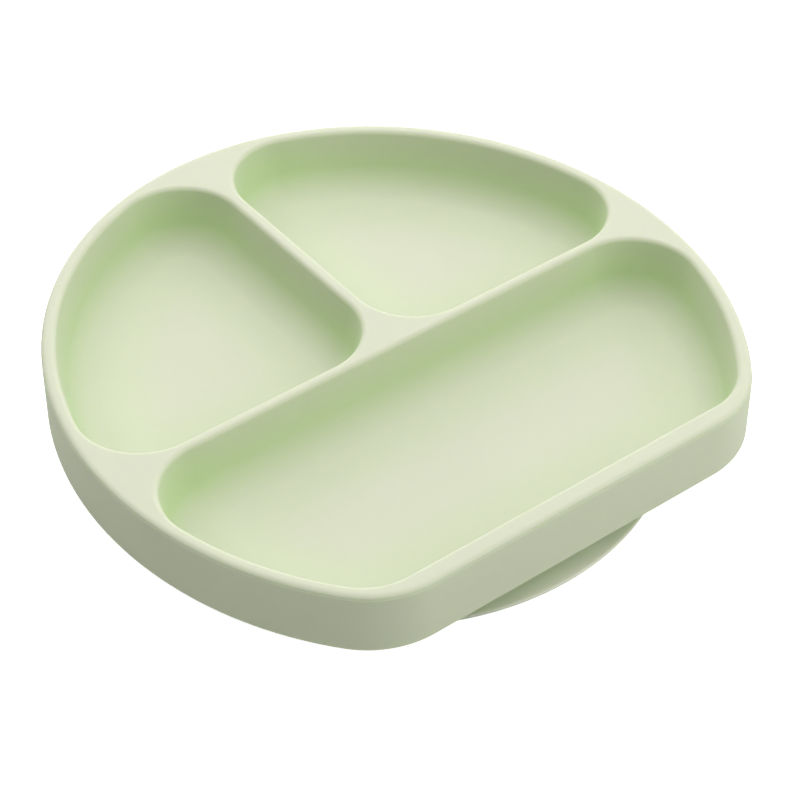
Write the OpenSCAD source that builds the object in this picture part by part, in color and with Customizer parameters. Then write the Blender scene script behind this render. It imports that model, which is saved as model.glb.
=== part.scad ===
// Divided suction dish for a toddler: a D-shaped dish with three compartments,
// held above the table by a stem and a wide suction cup.
// +X runs along the flat front side, the flat side faces -Y, +Z is up.
// The origin is on the table, at the centre of the suction cup.

/* [Dish outline] */
// Width across the widest line of the dish
dish_w = 214; // [200:0.5:240]
// Distance from the widest line forward to the flat front side
front_reach = 90.2; // [84:0.2:96]
// Distance from the widest line back to the rear edge
back_reach = 115.6; // [108:0.2:126]
// Plan radius of the two front corners
corner_r = 32; // [26:0.5:42]

/* [Dish body] */
// Height of the outer wall, from its bottom edge to the deck
wall_h = 21.8; // [18:0.2:26]
// Thickness of the compartment floors
floor_t = 2; // [1.5:0.1:3]
// Radius that rounds every edge of the deck
edge_r = 1.8; // [1:0.1:2]

/* [Compartments] */
// Width of the deck between a compartment and the curved outer wall
rim_w = 4.4; // [4.2:0.1:8]
// Width of the deck between the front compartment and the flat side
front_rim_w = 6.7; // [5:0.1:10]
// Width of the divider between the front compartment and the two behind it
long_divider_w = 3.4; // [3.4:0.1:6]
// Width of the divider between the two compartments behind
cross_divider_w = 4.2; // [3.4:0.1:7]
// How far the long divider stands in front of the widest line
long_divider_y = 1.2; // [-5:0.1:5]
// How far the cross divider stands to the right of the middle
cross_divider_x = 0.9; // [-5:0.1:5]
// Plan radius of the corners of the compartments
compartment_r = 21.4; // [17:0.2:26]
// Lean of the compartment walls from the vertical, in degrees
draft = 12; // [5:1:15]
// Radius between a compartment's wall and its floor
floor_fillet = 10; // [6:0.5:12]

/* [Suction base] */
// Diameter of the suction cup
cup_d = 181; // [170:0.5:184]
// How far the cup's centre lies behind the widest line
cup_back = 3.6; // [0:0.1:6]
// Gap between the table and the underside of the dish
standing_h = 15.4; // [14:0.2:18]
// Diameter of the stem that joins the cup to the dish
stem_d = 68; // [50:1:80]
// Length of the stem
stem_h = 5.5; // [4:0.5:7]
// Thickness of the cup where it meets the stem
cup_t = 2.2; // [1.6:0.1:3]
// Width of the flat band that seals on the table
seal_w = 15.3; // [14:0.1:20]
// Thickness of the band at its outer edge
seal_edge_t = 1.2; // [0.8:0.1:1.6]
// Thickness of the band at its inner edge
seal_inner_t = 2.4; // [1.8:0.1:3]
// Depth of the release lip, from its hinge line to the cup's edge
lip_depth = 12.3; // [8:0.1:13]

/* [Hidden] */
$fn = 96;

dish_color = "#DCE5C8";
base_color = "#CBD8B2";

outline_steps = 72; // points round each outline
round_steps = 4; // rings down a rounded edge of the deck
fillet_steps = 6; // rings round a floor fillet
motion_gap = 0.3; // between pieces that move apart
far = 2 * dish_w; // past every side of the dish

widest_y = -cup_back;
flat_y = widest_y - front_reach;
divider_y = widest_y - long_divider_y;
deck_z = standing_h + wall_h;
floor_z = standing_h + floor_t;

cup_r = cup_d / 2;
stem_r = stem_d / 2;
stem_z = standing_h - stem_h;
seal_inner_r = cup_r - seal_w;
lip_y = lip_depth - cup_r;

// Every outline is an oval cut by straight lines, with its corners rounded.
// It is kept as a core, which lies inside it by the corner radius all round:
// [radius, half width, half depth, left, right, front, back], lines from the oval's centre.
dish_core = core(0, corner_r, -far, far, -front_reach, far);
front_core = core(rim_w, compartment_r, -far, far,
    front_rim_w - front_reach, -long_divider_y - long_divider_w / 2);
left_core = core(rim_w, compartment_r, -far, cross_divider_x - cross_divider_w / 2,
    -long_divider_y + long_divider_w / 2, far);
right_core = core(rim_w, compartment_r, cross_divider_x + cross_divider_w / 2, far,
    -long_divider_y + long_divider_w / 2, far);

function core(rim, r, left, right, front, back) = [
    r, dish_w / 2 - rim - r, back_reach - rim - r, left + r, right - r, front + r, back - r
];

// The core's corners: where its lines cross its oval, and where they cross each other
function corners(c) = [
    for (y = [c[5], c[6]], side = [-1, 1])
        if (abs(y) < c[2]) [side * c[1] * sqrt(1 - pow(y / c[2], 2)), y],
    for (x = [c[3], c[4]], side = [-1, 1])
        if (abs(x) < c[1]) [x, side * c[2] * sqrt(1 - pow(x / c[1], 2))],
    for (x = [c[3], c[4]], y = [c[5], c[6]])
        if (norm([x / c[1], y / c[2]]) < 1) [x, y]
];

function in_core(c, p) =
    p.x >= c[3] - 0.001 && p.x <= c[4] + 0.001 && p.y >= c[5] - 0.001 && p.y <= c[6] + 0.001;

// The core's furthest point in direction n: on its oval, or else one of its corners
function furthest(c, n) =
    let (oval = [c[1] * c[1] * n.x, c[2] * c[2] * n.y] / norm([c[1] * n.x, c[2] * n.y]),
        near = [for (p = corners(c)) if (in_core(c, p)) p])
    in_core(c, oval) ? oval : near[search(max(near * n), near * n)[0]];

// The outline round a core, pulled in by inset, as a ring of points at height z
function ring(c, inset, z) = [
    for (i = [0:outline_steps - 1])
        let (a = (i + 0.5) * 360 / outline_steps,
            n = [cos(a), sin(a)],
            p = furthest(c, n) + (c[0] - inset) * n)
        [p.x, p.y + widest_y, z]
];

// A closed solid through a stack of rings, lowest ring first
module loft(rings) {
    n = outline_steps;
    top = len(rings) - 1;
    polyhedron(
        points = [for (r = rings) each r],
        faces = [
            [for (i = [0:n - 1]) i],
            [for (i = [n - 1:-1:0]) top * n + i],
            for (k = [0:top - 1], i = [0:n - 1])
                let (a = k * n + i, b = k * n + (i + 1) % n)
                each [[a, a + n, b + n], [a, b + n, b]]
        ]);
}

// The solid body of the dish, with the deck's outer edge rounded
module blank() {
    loft([
        ring(dish_core, 0, standing_h),
        for (i = [0:round_steps])
            let (a = 90 * i / round_steps)
            ring(dish_core, edge_r * (1 - cos(a)), deck_z - edge_r * (1 - sin(a)))
    ]);
}

// A compartment's hollow: flat floor, round fillet, leaning wall and a rounded mouth
module hollow(c) {
    fillet_top = floor_z + floor_fillet * (1 - sin(draft));
    fillet_inset = (deck_z - fillet_top) * tan(draft) + floor_fillet * cos(draft);
    mouth_inset = edge_r * ((1 - sin(draft)) * tan(draft) - cos(draft));
    loft([
        for (i = [0:fillet_steps])
            let (a = 90 - (90 - draft) * i / fillet_steps)
            ring(c, fillet_inset - floor_fillet * cos(a), floor_z + floor_fillet * (1 - sin(a))),
        for (i = [0:round_steps])
            let (a = draft + (90 - draft) * i / round_steps)
            ring(c, mouth_inset + edge_r * cos(a), deck_z - edge_r * (1 - sin(a))),
        ring(c, mouth_inset, deck_z + edge_r)
    ]);
}

module dish() {
    color(dish_color)
        difference() {
            blank();
            for (c = [front_core, left_core, right_core]) hollow(c);
        }
}

module stem() {
    color(base_color)
        translate([0, 0, stem_z]) cylinder(r = stem_r, h = stem_h);
}

module cup_membrane() {
    color(base_color)
        rotate_extrude()
            polygon([
                [0, stem_z - cup_t],
                [stem_r, stem_z - cup_t],
                [seal_inner_r - motion_gap, seal_edge_t / 2],
                [seal_inner_r - motion_gap, seal_inner_t],
                [stem_r, stem_z],
                [0, stem_z]
            ]);
}

// The whole flat band round the cup's edge, lip included
module seal_band() {
    rotate_extrude()
        polygon([
            [seal_inner_r, 0],
            [cup_r, 0],
            [cup_r, seal_edge_t],
            [seal_inner_r, seal_inner_t]
        ]);
}

// Everything in front of the line y
module in_front_of(y) {
    translate([-far, y - 2 * far, -far]) cube(2 * far);
}

module sealing_rim() {
    color(base_color)
        difference() {
            seal_band();
            in_front_of(lip_y + motion_gap / 2);
        }
}

module release_lip() {
    color(base_color)
        intersection() {
            seal_band();
            in_front_of(lip_y - motion_gap / 2);
        }
}

dish();
stem();
cup_membrane();
sealing_rim();
release_lip();
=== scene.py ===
"""Divided suction dish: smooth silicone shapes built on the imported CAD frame."""
import math

import bmesh
import bpy
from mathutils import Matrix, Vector
from mathutils.geometry import tessellate_polygon


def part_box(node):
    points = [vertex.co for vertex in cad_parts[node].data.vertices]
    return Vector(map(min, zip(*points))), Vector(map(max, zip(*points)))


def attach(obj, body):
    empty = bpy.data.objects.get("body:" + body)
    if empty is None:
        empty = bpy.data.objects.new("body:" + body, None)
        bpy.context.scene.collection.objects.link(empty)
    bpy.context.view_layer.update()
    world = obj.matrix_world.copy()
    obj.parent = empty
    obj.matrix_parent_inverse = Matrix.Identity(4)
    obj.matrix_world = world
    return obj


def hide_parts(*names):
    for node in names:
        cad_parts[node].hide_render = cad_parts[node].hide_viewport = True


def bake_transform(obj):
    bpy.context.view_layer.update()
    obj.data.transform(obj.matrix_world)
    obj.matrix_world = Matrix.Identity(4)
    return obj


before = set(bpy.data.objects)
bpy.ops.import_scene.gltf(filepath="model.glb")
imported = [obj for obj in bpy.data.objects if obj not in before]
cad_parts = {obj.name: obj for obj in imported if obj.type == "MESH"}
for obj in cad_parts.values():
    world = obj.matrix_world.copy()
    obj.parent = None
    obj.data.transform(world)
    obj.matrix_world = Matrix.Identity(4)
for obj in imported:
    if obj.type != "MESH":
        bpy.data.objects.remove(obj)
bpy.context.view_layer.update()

# Shapes are worked out in millimetres and scaled to metres when a mesh is made.
MM = 0.001


def box_mm(node):
    low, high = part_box(node)
    return low / MM, high / MM


# ---------------------------------------------------------------- driving sizes, mm
dish_low, dish_high = box_mm("dish")
stem_low, stem_high = box_mm("stem")
membrane_low, membrane_high = box_mm("cup_membrane")
_, rim_high = box_mm("sealing_rim")

UNDER_Z = dish_low.z  # the dish's flat underside
DECK_Z = dish_high.z
HALF_W = (dish_high.x - dish_low.x) / 2
WIDEST_Y = -3.6  # the dish's widest line, in front of the cup's centre
FRONT_REACH = WIDEST_Y - dish_low.y
BACK_REACH = dish_high.y - WIDEST_Y
CORNER_R = 32.0

EDGE_R = 1.8  # rounds the mouths of the compartments
BROW_W = 1.9  # the deck's outer edge is a flatter round, this wide
BROW_H = 1.2
FOOT_R = 0.4  # eases the bottom edge of the outer wall
RIM_W = 4.4
FRONT_RIM_W = 6.7
LONG_DIVIDER_W = 3.4
CROSS_DIVIDER_W = 4.2
LONG_DIVIDER_Y = -1.2
CROSS_DIVIDER_X = 0.9
COMPARTMENT_R = 21.4
DRAFT = math.radians(12)
FLOOR_T = 2.0
FLOOR_FILLET = 10.0
FLOOR_Z = UNDER_Z + FLOOR_T

PARTING_STEP = 0.2  # the wall below the mould's parting line stands this far outside the round
PARTING_H = 0.35
PARTING_LIP = 0.08  # the wall's last ring lies this far below the step

# Flat faces run on this far from a rounded edge before they are filled, so that the edge shades cleanly
WALL_HOLD = 0.2
DECK_HOLD = 0.15
FLOOR_HOLD = 0.5
UNDER_HOLD = 1.0

CUP_R = rim_high.x
MOTION_GAP = 0.3  # between the cup's CAD pieces, closed here by the skins
BAND_INNER_R = membrane_high.x + MOTION_GAP
BAND_INNER_Z = rim_high.z
BAND_EDGE_Z = 1.2
STEM_R = stem_high.x
STEM_FILLET = 2.5
STEM_EMBED = 0.5  # the stem runs this far into the dish and into the cup
CUP_TOP_Z = stem_low.z
CUP_SLOPE = -0.182  # fall of the cup's upper face beside the stem
DOME_RISE = 7.2
DOME_Z = membrane_low.z + DOME_RISE  # top of the hollow under the cup

OUTLINE_STEPS = 360
TURN_STEPS = 256
ROUND_STEPS = 9
FILLET_STEPS = 14
WALL_STEPS = 6
FAR = 1000.0


# ---------------------------------------------------------------- outlines
def core(rim, radius, left=-FAR, right=FAR, front=-FAR, back=FAR):
    """An oval cut by straight lines, all lying inside the outline by the corner radius."""
    return {
        "radius": radius,
        "a": HALF_W - rim - radius,
        "b": BACK_REACH - rim - radius,
        "x": (left + radius, right - radius),
        "y": (front + radius, back - radius),
    }


DISH = core(0, CORNER_R, front=-FRONT_REACH)

# The lines that bound the three compartments where the outer wall does not
FLAT_SIDE = FRONT_RIM_W - FRONT_REACH
DIVIDER_FRONT = LONG_DIVIDER_Y - LONG_DIVIDER_W / 2
DIVIDER_BACK = LONG_DIVIDER_Y + LONG_DIVIDER_W / 2
DIVIDER_LEFT = CROSS_DIVIDER_X - CROSS_DIVIDER_W / 2
DIVIDER_RIGHT = CROSS_DIVIDER_X + CROSS_DIVIDER_W / 2
COMPARTMENTS = [
    core(RIM_W, COMPARTMENT_R, front=FLAT_SIDE, back=DIVIDER_FRONT),
    core(RIM_W, COMPARTMENT_R, right=DIVIDER_LEFT, front=DIVIDER_BACK),
    core(RIM_W, COMPARTMENT_R, left=DIVIDER_RIGHT, front=DIVIDER_BACK),
]


def inside_core(c, p):
    slack = 1e-6
    return all(c[k][0] - slack <= v <= c[k][1] + slack for k, v in zip("xy", p))


def core_corners(c):
    """Where the core's lines cross its oval and each other."""
    a, b = c["a"], c["b"]
    found = [(s * a * math.sqrt(1 - (y / b) ** 2), y) for y in c["y"] if abs(y) < b for s in (-1, 1)]
    found += [(x, s * b * math.sqrt(1 - (x / a) ** 2)) for x in c["x"] if abs(x) < a for s in (-1, 1)]
    found += [(x, y) for x in c["x"] for y in c["y"] if math.hypot(x / a, y / b) < 1]
    return [p for p in found if inside_core(c, p)]


def furthest(c, n):
    """The core's furthest point in direction n: on its oval, or else one of its corners."""
    length = math.hypot(c["a"] * n[0], c["b"] * n[1])
    oval = (c["a"] ** 2 * n[0] / length, c["b"] ** 2 * n[1] / length)
    if inside_core(c, oval):
        return oval
    return max(core_corners(c), key=lambda p: p[0] * n[0] + p[1] * n[1])


def ring(c, inset, z):
    """The outline round a core, pulled in by inset, at height z."""
    points = []
    for i in range(OUTLINE_STEPS):
        angle = (i + 0.5) * math.tau / OUTLINE_STEPS
        n = (math.cos(angle), math.sin(angle))
        x, y = furthest(c, n)
        reach = c["radius"] - inset
        points.append((x + reach * n[0], y + reach * n[1] + WIDEST_Y, z))
    return points


def circle(radius, z):
    angles = [i * math.tau / TURN_STEPS for i in range(TURN_STEPS)]
    return [(radius * math.cos(a), radius * math.sin(a), z) for a in angles]


def arc(centre, radius, start, end, steps):
    """Points on an arc, angles in degrees; steps + 1 of them."""
    angles = [math.radians(start + (end - start) * i / steps) for i in range(steps + 1)]
    return [(centre[0] + radius * math.cos(a), centre[1] + radius * math.sin(a)) for a in angles]


# ---------------------------------------------------------------- mesh building
class Shell:
    """Vertices and faces gathered ring by ring, in millimetres."""

    def __init__(self):
        self.points = []
        self.faces = []

    def ring(self, points):
        start = len(self.points)
        self.points.extend(points)
        return list(range(start, start + len(points)))

    def strip(self, lower, upper):
        count = len(lower)
        for i in range(count):
            j = (i + 1) % count
            self.faces.append((lower[i], lower[j], upper[j], upper[i]))

    def tube(self, rings):
        """Strips through a stack of rings of points. Returns the first and last ring's numbers."""
        numbers = [self.ring(r) for r in rings]
        for lower, upper in zip(numbers, numbers[1:]):
            self.strip(lower, upper)
        return numbers[0], numbers[-1]

    def flat(self, outer, holes=()):
        """Fills a flat outline, less its holes, with triangles."""
        loops = [outer, *holes]
        numbers = [n for loop in loops for n in loop]
        corners = [[Vector(self.points[n]) for n in loop] for loop in loops]
        for triangle in tessellate_polygon(corners):
            self.faces.append(tuple(numbers[k] for k in triangle))

    def piece(self, name, material):
        mesh = bpy.data.meshes.new(name)
        scaled = [tuple(v * MM for v in p) for p in self.points]
        mesh.from_pydata(scaled, [], self.faces)
        made = bmesh.new()
        made.from_mesh(mesh)
        bmesh.ops.recalc_face_normals(made, faces=made.faces)
        for face in made.faces:
            face.smooth = True
        made.to_mesh(mesh)
        made.free()
        mesh.materials.append(material)
        piece = bpy.data.objects.new(name, mesh)
        bpy.context.scene.collection.objects.link(piece)
        return piece


# ---------------------------------------------------------------- the dish
def outer_profile():
    """(inset, z) up the outer wall: eased foot, parting step and the deck's round edge."""
    foot = [(FOOT_R - x, z) for x, z in arc((0, UNDER_Z + FOOT_R), FOOT_R, -90, 0, 4)]
    brow_z = DECK_Z - BROW_H
    step_z = brow_z - PARTING_H
    first_z = UNDER_Z + FOOT_R + WALL_HOLD
    last_z = step_z - WALL_HOLD
    wall = [(0, first_z + (last_z - first_z) * i / WALL_STEPS) for i in range(WALL_STEPS + 1)]
    step = [
        (0, step_z - PARTING_LIP),
        (PARTING_STEP * 0.1, step_z + PARTING_H * 0.15),
        (PARTING_STEP * 0.5, step_z + PARTING_H * 0.4),
        (PARTING_STEP * 0.95, step_z + PARTING_H * 0.65),
    ]
    quarter = [math.radians(90 * i / ROUND_STEPS) for i in range(ROUND_STEPS + 1)]
    brow = [
        (PARTING_STEP + BROW_W * (1 - math.cos(a)), brow_z + BROW_H * math.sin(a))
        for a in quarter
    ]
    deck_inset = PARTING_STEP + BROW_W + DECK_HOLD
    return [(UNDER_HOLD, UNDER_Z), *foot, *wall, *step, *brow, (deck_inset, DECK_Z)]


def hollow_profile():
    """(inset, z) down a compartment: the mouth's round edge, leaning wall and floor fillet."""
    fillet_top = FLOOR_Z + FLOOR_FILLET * (1 - math.sin(DRAFT))
    fillet_inset = (DECK_Z - fillet_top) * math.tan(DRAFT) + FLOOR_FILLET * math.cos(DRAFT)
    mouth_inset = EDGE_R * ((1 - math.sin(DRAFT)) * math.tan(DRAFT) - math.cos(DRAFT))
    draft = math.degrees(DRAFT)
    mouth = arc((mouth_inset, DECK_Z - EDGE_R), EDGE_R, 90, draft, ROUND_STEPS)
    fillet = arc((fillet_inset, FLOOR_Z + FLOOR_FILLET), FLOOR_FILLET, 180 + draft, 270, FILLET_STEPS)
    top, bottom = mouth[-1], fillet[0]
    wall = [
        tuple(t + (b - t) * i / WALL_STEPS for t, b in zip(top, bottom))
        for i in range(1, WALL_STEPS)
    ]
    deck_end = (mouth_inset - DECK_HOLD, DECK_Z)
    floor_end = (fillet_inset + FLOOR_HOLD, FLOOR_Z)
    return [deck_end, *mouth, *wall, *fillet, floor_end]


def make_dish(material):
    shell = Shell()
    foot, deck = shell.tube([ring(DISH, inset, z) for inset, z in outer_profile()])
    shell.flat(foot)
    mouths = []
    for compartment in COMPARTMENTS:
        mouth, floor = shell.tube([ring(compartment, inset, z) for inset, z in hollow_profile()])
        shell.flat(floor)
        mouths.append(mouth)
    shell.flat(deck, mouths)
    piece = shell.piece("dish_body_shell", material)
    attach(piece, "dish_body")
    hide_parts("dish")


# ---------------------------------------------------------------- the suction base
def hermite(start, end, steps):
    """Points on a smooth curve between two (r, z, slope) ends."""
    (r0, z0, s0), (r1, z1, s1) = start, end
    points = []
    for i in range(steps + 1):
        t = i / steps
        run = r1 - r0
        z = (2 * t**3 - 3 * t**2 + 1) * z0 + (t**3 - 2 * t**2 + t) * s0 * run
        z += (3 * t**2 - 2 * t**3) * z1 + (t**3 - t**2) * s1 * run
        points.append((r0 + t * run, z))
    return points


FLARE_ANGLE = 90 + math.degrees(math.atan(CUP_SLOPE))
FLARE_R = STEM_R + STEM_FILLET * (1 - math.cos(math.radians(FLARE_ANGLE)))
FLARE_Z = CUP_TOP_Z + CUP_SLOPE * (FLARE_R - STEM_R)
BAND_SLOPE = -0.12  # fall of the band's upper face at its inner edge
BAND_EDGE_SLOPE = -0.05
BAND_BASE_STEPS = 8


def make_stem(material):
    """The boss between dish and cup, with a fillet at each end."""
    flare_centre_z = FLARE_Z + STEM_FILLET * math.sin(math.radians(FLARE_ANGLE))
    centre_r = STEM_R + STEM_FILLET
    lower = arc((centre_r, flare_centre_z), STEM_FILLET, 180 + FLARE_ANGLE, 180, 8)
    upper = arc((centre_r, UNDER_Z - STEM_FILLET), STEM_FILLET, 180, 90, 8)
    shell = Shell()
    profile = [(FLARE_R, FLARE_Z - STEM_EMBED), *lower, *upper, (centre_r, UNDER_Z + STEM_EMBED)]
    bottom, top = shell.tube([circle(r, z) for r, z in profile])
    shell.flat(bottom)
    shell.flat(top)
    piece = shell.piece("stem_boss", material)
    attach(piece, "dish_body")
    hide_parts("stem")


def make_cup_skins(material):
    """The cup's upper and lower faces, built unpressed; the real ones flatten as the dish is pressed.
    """
    upper = Shell()
    profile = hermite((FLARE_R, FLARE_Z, CUP_SLOPE), (BAND_INNER_R, BAND_INNER_Z, BAND_SLOPE), 24)
    upper.tube([circle(r, z) for r, z in profile])
    top = upper.piece("cup_top_skin", material)
    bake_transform(top)
    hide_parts("cup_membrane")

    lower = Shell()
    steps = 30
    radii = [BAND_INNER_R * (1 - i / steps) for i in range(steps)]
    rings = [circle(r, DOME_Z * (1 - (r / BAND_INNER_R) ** 2)) for r in radii]
    _, last = lower.tube(rings)
    lower.flat(last)
    under = lower.piece("cup_under_skin", material)
    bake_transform(under)
    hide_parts("cup_membrane")


def make_band(material):
    """The sealing band round the cup, which takes the place of the CAD sealing rim and release lip."""
    edge_r = BAND_EDGE_Z / 2
    flat_r = CUP_R - edge_r
    slope_end = (flat_r, BAND_EDGE_Z, BAND_EDGE_SLOPE)
    face = hermite((BAND_INNER_R, BAND_INNER_Z, BAND_SLOPE), slope_end, 20)
    edge = arc((flat_r, edge_r), edge_r, 90, -90, 8)[1:]
    width = flat_r - BAND_INNER_R
    base = [(flat_r - width * i / BAND_BASE_STEPS, 0) for i in range(1, BAND_BASE_STEPS + 1)]
    profile = [*face, *edge, *base, (BAND_INNER_R, BAND_INNER_Z)]
    shell = Shell()
    numbers = [shell.ring(circle(r, z)) for r, z in profile[:-1]]
    for lower, upper in zip(numbers, numbers[1:] + numbers[:1]):
        shell.strip(lower, upper)
    piece = shell.piece("sealing_band", material)
    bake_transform(piece)
    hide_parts("sealing_rim", "release_lip")


# ---------------------------------------------------------------- materials
WALL_TILT = 0.35  # a face whose normal rises less than this counts as a wall, and takes more of the painted shade
# how far the occlusion that drives the painted shade looks, in metres
SHADE_REACH = 0.03
ROUGHNESS_DRIFT = 0.06


def silicone(name, colour, painted_shade_colour, shade, steep, floor_least, roughness, grain, own_shade_only):
    """Soft translucent silicone with painted shade: a darker, fuller green is painted into its base
    colour in hollows, under overhangs and on steep faces, where light reaches it second hand.

    The two ends of shade are the amounts of open sky at which the colour is the painted shade colour
    and plain colour. steep is how plain the most open upright face is, and floor_least how plain
    the most shaded level face is.
    """
    material = bpy.data.materials.new(name)
    material.use_nodes = True
    nodes, links = material.node_tree.nodes, material.node_tree.links
    shader = nodes["Principled BSDF"]
    place = nodes.new("ShaderNodeTexCoord").outputs["Object"]

    def noise(scale, detail=2.0):
        texture = nodes.new("ShaderNodeTexNoise")
        texture.inputs["Scale"].default_value = scale
        texture.inputs["Detail"].default_value = detail
        links.new(place, texture.inputs["Vector"])
        return texture.outputs["Fac"]

    def mix(factor, start, end):
        node = nodes.new("ShaderNodeMix")
        node.data_type = "RGBA"
        links.new(factor, node.inputs["Factor"])
        for key, value in (("A", start), ("B", end)):
            if isinstance(value, tuple):
                node.inputs[key].default_value = (*value, 1)
            else:
                links.new(value, node.inputs[key])
        return node.outputs["Result"]

    def span(value, low, high, low_out, high_out):
        node = nodes.new("ShaderNodeMapRange")
        ends = {"From Min": low, "From Max": high, "To Min": low_out, "To Max": high_out}
        for key, end in ends.items():
            node.inputs[key].default_value = end
        links.new(value, node.inputs["Value"])
        return node.outputs["Result"]

    def bump(height, strength, distance, under=None):
        node = nodes.new("ShaderNodeBump")
        node.inputs["Strength"].default_value = strength
        node.inputs["Distance"].default_value = distance
        links.new(height, node.inputs["Height"])
        if under:
            links.new(under, node.inputs["Normal"])
        return node.outputs["Normal"]

    def combine(operation, first, second):
        node = nodes.new("ShaderNodeMath")
        node.operation = operation
        links.new(first, node.inputs[0])
        links.new(second, node.inputs[1])
        return node.outputs["Value"]

    # Painted shade: occlusion and facing decide how far the base colour is painted towards the darker,
    # fuller green
    open_sky = nodes.new("ShaderNodeAmbientOcclusion")
    open_sky.only_local = own_shade_only
    open_sky.inputs["Distance"].default_value = SHADE_REACH
    facing = nodes.new("ShaderNodeSeparateXYZ")
    links.new(nodes.new("ShaderNodeNewGeometry").outputs["Normal"], facing.inputs["Vector"])
    level = span(facing.outputs["Z"], WALL_TILT, 1, 0, 1)
    lit = combine("MULTIPLY", span(open_sky.outputs["AO"], *shade, 0, 1), span(level, 0, 1, steep, 1))
    lit = combine("MAXIMUM", lit, span(level, 0, 1, 0, floor_least))
    drift = noise(24)
    plain = mix(drift, tuple(c * 0.98 for c in colour), tuple(c * 1.02 for c in colour))
    # Painted shade: plain colour where lit is 1, the darker painted shade colour where it is 0
    painted_shade_mix = mix(lit, painted_shade_colour, plain)
    links.new(painted_shade_mix, shader.inputs["Base Color"])
    patches = noise(160, 4)
    sheen = span(patches, 0, 1, roughness - ROUGHNESS_DRIFT, roughness + ROUGHNESS_DRIFT)
    links.new(sheen, shader.inputs["Roughness"])
    mould_grain = noise(3500, 3)
    slight_waves = noise(32, 1)
    fine = bump(mould_grain, grain, 0.00005)
    links.new(bump(slight_waves, 0.25, 0.0004, fine), shader.inputs["Normal"])

    shader.inputs["Subsurface Weight"].default_value = 0.5
    shader.inputs["Subsurface Radius"].default_value = (0.9, 1.0, 0.6)
    shader.inputs["Subsurface Scale"].default_value = 0.003
    shader.inputs["IOR"].default_value = 1.41
    shader.inputs["Specular IOR Level"].default_value = 0.06
    return material


# ---------------------------------------------------------------- stage, light and camera
FLOOR_GLOW = 0.9
SKY_GLOW = 1.0
SKY_LIGHT = 0.02


def glow_for_camera(tree, strength, true_glow, seen_glow):
    """Floor and backdrop look white, as if lit from behind, but lend the object little light."""
    rays = tree.nodes.new("ShaderNodeLightPath")
    glow = tree.nodes.new("ShaderNodeMapRange")
    glow.inputs["To Min"].default_value = true_glow
    glow.inputs["To Max"].default_value = seen_glow
    tree.links.new(rays.outputs["Is Camera Ray"], glow.inputs["Value"])
    tree.links.new(glow.outputs["Result"], strength)


def make_floor():
    size = 4.0
    mesh = bpy.data.meshes.new("floor")
    half = size / 2
    corners = [(-half, -half, 0), (half, -half, 0), (half, half, 0), (-half, half, 0)]
    mesh.from_pydata(corners, [], [(0, 1, 2, 3)])
    floor = bpy.data.objects.new("floor", mesh)
    bpy.context.scene.collection.objects.link(floor)
    material = bpy.data.materials.new("pale_floor")
    material.use_nodes = True
    shader = material.node_tree.nodes["Principled BSDF"]
    shader.inputs["Base Color"].default_value = (0.72, 0.72, 0.72, 1)
    shader.inputs["Roughness"].default_value = 0.9
    shader.inputs["Emission Color"].default_value = (1, 1, 1, 1)
    glow_for_camera(material.node_tree, shader.inputs["Emission Strength"], 0, FLOOR_GLOW)
    mesh.materials.append(material)


def towards(azimuth, elevation):
    """Unit vector from the object, angles in degrees; azimuth 0 is in front of the flat side."""
    turn, rise = math.radians(azimuth), math.radians(elevation)
    return Vector((math.sin(turn) * math.cos(rise), -math.cos(turn) * math.cos(rise), math.sin(rise)))


SOFTBOX_SIZE = 0.8
SOFTBOX_DISTANCE = 1.2


def softbox(azimuth, elevation, watts):
    """A square softbox on a dome round the object."""
    back = towards(azimuth, elevation)
    name = f"softbox_{azimuth}_{elevation}"
    light = bpy.data.lights.new(name, "AREA")
    light.shape = "SQUARE"
    light.size = SOFTBOX_SIZE
    light.energy = watts
    lamp = bpy.data.objects.new(name, light)
    lamp.location = back * SOFTBOX_DISTANCE
    lamp.rotation_mode = "QUATERNION"
    lamp.rotation_quaternion = (-back).to_track_quat("-Z", "Y")
    bpy.context.scene.collection.objects.link(lamp)


# A full ring of softboxes from above, and stronger low ones on the right and behind
HIGH_ELEVATION = 58
HIGH_AZIMUTHS = range(0, 360, 60)
HIGH_WATTS = 3
LOW_ELEVATION = 22
LOW_AZIMUTHS = (45, 135, 180)
LOW_WATTS = 5
FRONT_WATTS = 1  # a faint low fill in front, at azimuth 0


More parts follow.
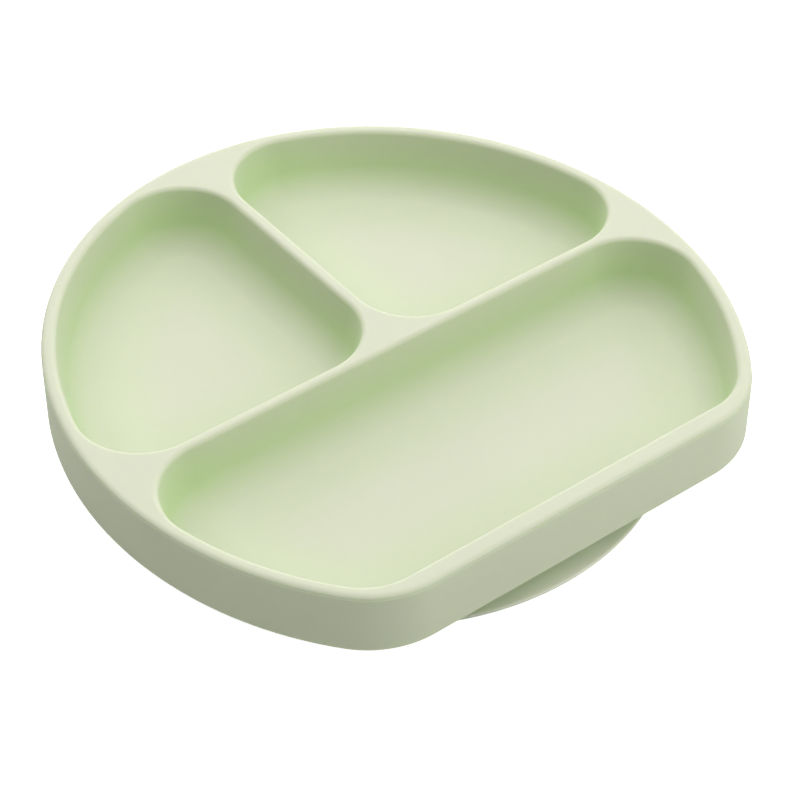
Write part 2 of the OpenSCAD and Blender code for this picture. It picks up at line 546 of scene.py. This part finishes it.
def make_lights():
    for azimuth in HIGH_AZIMUTHS:
        softbox(azimuth, HIGH_ELEVATION, HIGH_WATTS)
    for azimuth in LOW_AZIMUTHS:
        softbox(azimuth, LOW_ELEVATION, LOW_WATTS)
    softbox(0, LOW_ELEVATION, FRONT_WATTS)
    world = bpy.data.worlds.new("studio")
    world.use_nodes = True
    sky = world.node_tree.nodes["Background"]
    sky.inputs["Color"].default_value = (1, 1, 1, 1)
    glow_for_camera(world.node_tree, sky.inputs["Strength"], SKY_LIGHT, SKY_GLOW)
    bpy.context.scene.world = world
    bpy.context.scene.view_settings.view_transform = "Standard"


CAMERA_AZIMUTH = -37.27
CAMERA_ELEVATION = 40.89
CAMERA_DISTANCE = 0.79
CAMERA_TARGET = Vector((-0.12, WIDEST_Y + 0.29, DECK_Z - 0.43)) * MM  # near the middle of the deck
CAMERA_LENS = 114.26
CAMERA_SHIFT = (0.0087, -0.0775)


def make_camera():
    """Looks at the deck from front left, from above."""
    back = towards(CAMERA_AZIMUTH, CAMERA_ELEVATION)
    data = bpy.data.cameras.new("camera")
    data.sensor_width = 36
    data.lens = CAMERA_LENS
    data.shift_x, data.shift_y = CAMERA_SHIFT
    camera = bpy.data.objects.new("camera", data)
    camera.location = CAMERA_TARGET + back * CAMERA_DISTANCE
    camera.rotation_mode = "QUATERNION"
    camera.rotation_quaternion = (-back).to_track_quat("-Z", "Y")
    bpy.context.scene.collection.objects.link(camera)
    bpy.context.scene.camera = camera


# ---------------------------------------------------------------- build
# The dish's second colour is painted shade: a darker, fuller green laid on its compartment walls,
# fillets and floors near walls
dish_silicone = silicone(
    "dish_silicone", (0.57, 0.59, 0.465), (0.49, 0.62, 0.34),
    shade=(0.7, 1.0), steep=0.77, floor_least=0.85, roughness=0.7, grain=0.35, own_shade_only=True,
)
# The cup and stem's silicone is painted much lighter than the dish's, as painted light making up for
# the light the dish's overhang keeps off the cup; its second colour is painted shade, a darker green
# under the overhang and beside the stem
base_silicone = silicone(
    "base_silicone", (0.84, 0.88, 0.68), (0.60, 0.86, 0.46),
    shade=(0.1, 0.5), steep=1, floor_least=0, roughness=0.5, grain=0.15, own_shade_only=False,
)
make_camera()
make_dish(dish_silicone)
make_stem(base_silicone)
make_cup_skins(base_silicone)
make_band(base_silicone)
make_floor()
make_lights()
